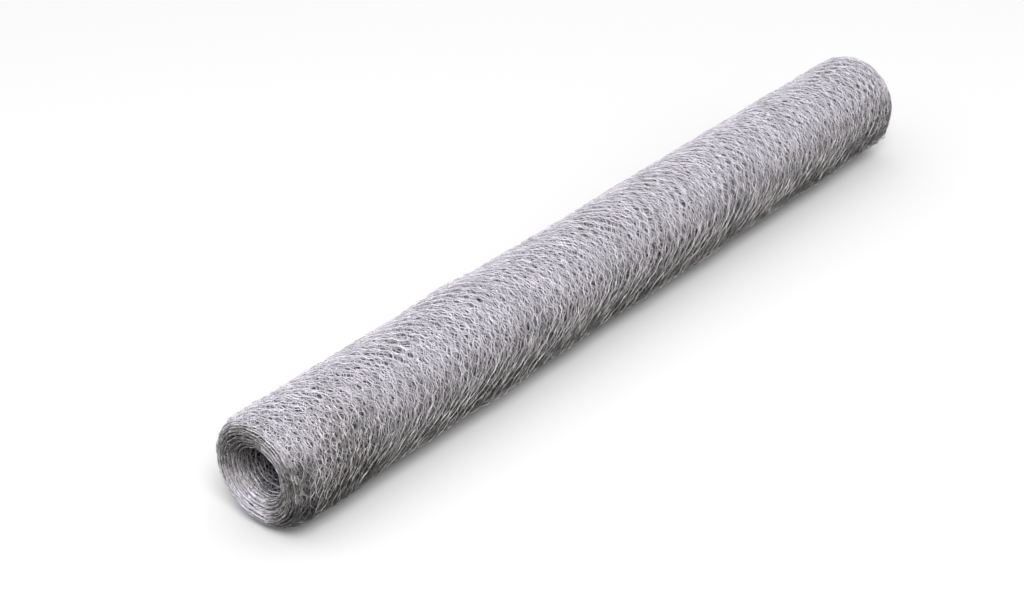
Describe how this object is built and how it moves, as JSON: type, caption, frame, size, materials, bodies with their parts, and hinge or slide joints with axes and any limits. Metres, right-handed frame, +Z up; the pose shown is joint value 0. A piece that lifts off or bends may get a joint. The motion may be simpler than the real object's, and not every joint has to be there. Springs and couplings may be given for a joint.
{
  "type": "roll of wire netting",
  "caption": "Long roll of galvanised hexagonal wire netting, lying on its side, with an open bore, dished ends that show the turns, and the sheet's loose edge along the roll.",
  "frame": {"origin": "on the floor plane, under the middle of the roll's box", "axes": "+X along the roll, with the end that faces the viewer at low X, +Z up; the sheet's loose edge runs along X, low on the -Y side"},
  "size_m": [1.4996, 0.178, 0.1758],
  "materials": {
    "galvanised_wire": "weathered galvanised steel wire, light grey and half matt"
  },
  "bodies": {
    "root": {"wire_netting_roll": "galvanised_wire"}
  },
  "joints": []
}
